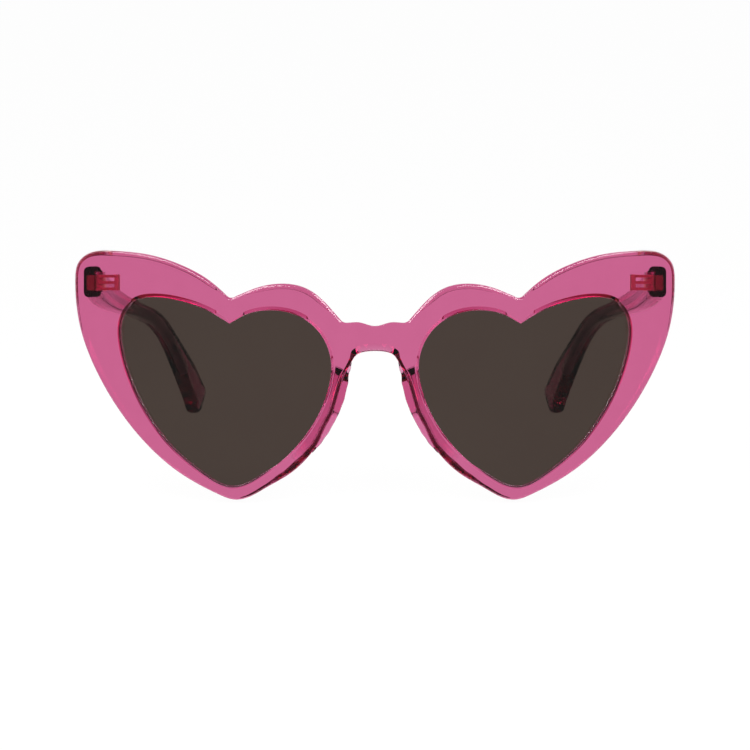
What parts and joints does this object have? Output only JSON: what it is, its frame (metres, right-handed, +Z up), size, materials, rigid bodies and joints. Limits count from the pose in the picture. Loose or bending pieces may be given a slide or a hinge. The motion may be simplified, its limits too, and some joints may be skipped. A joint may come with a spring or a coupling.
{
  "type": "heart-shaped sunglasses",
  "caption": "Cat-eye heart-shaped sunglasses: clear tinted acetate front with dark lenses, bonded nose pads and wire-cored temples that fold on barrel hinges.",
  "frame": {"origin": "on the table under the middle of the overall box, the glasses standing open on the points of the hearts and the temple tips", "axes": "+X to the wearer's left, +Y from the front back along the temples, +Z up from the table"},
  "size_m": [0.147, 0.1294, 0.0598],
  "materials": {
    "front_acetate": "polished translucent",
    "pad_acetate": "polished translucent",
    "temple_acetate": "polished translucent",
    "lens_tint": "polished dark tint",
    "wire_metal": "drawn wire",
    "hinge_metal": "satin",
    "screw_metal": "satin"
  },
  "bodies": {
    "front": {"front_frame": "front_acetate", "lens_left": "lens_tint", "lens_right": "lens_tint", "nose_pad_left": "pad_acetate", "nose_pad_right": "pad_acetate", "front_hinge_left": "hinge_metal", "front_hinge_right": "hinge_metal", "hinge_screw_left": "screw_metal", "hinge_screw_right": "screw_metal"},
    "left_temple": {"temple_left": "temple_acetate", "core_wire_left": "wire_metal", "temple_hinge_left": "hinge_metal"},
    "right_temple": {"temple_right": "temple_acetate", "core_wire_right": "wire_metal", "temple_hinge_right": "hinge_metal"}
  },
  "joints": [
    {"name": "left_temple_fold", "type": "hinge", "parent": "front", "child": "left_temple", "pos_m": [0.0671, -0.04363, 0.05107], "axis": [0, 0.1673, 0.9859], "range_deg": [0, 82]},
    {"name": "right_temple_fold", "type": "hinge", "parent": "front", "child": "right_temple", "pos_m": [-0.0671, -0.04363, 0.05107], "axis": [0, -0.1673, -0.9859], "range_deg": [0, 75]}
  ]
}
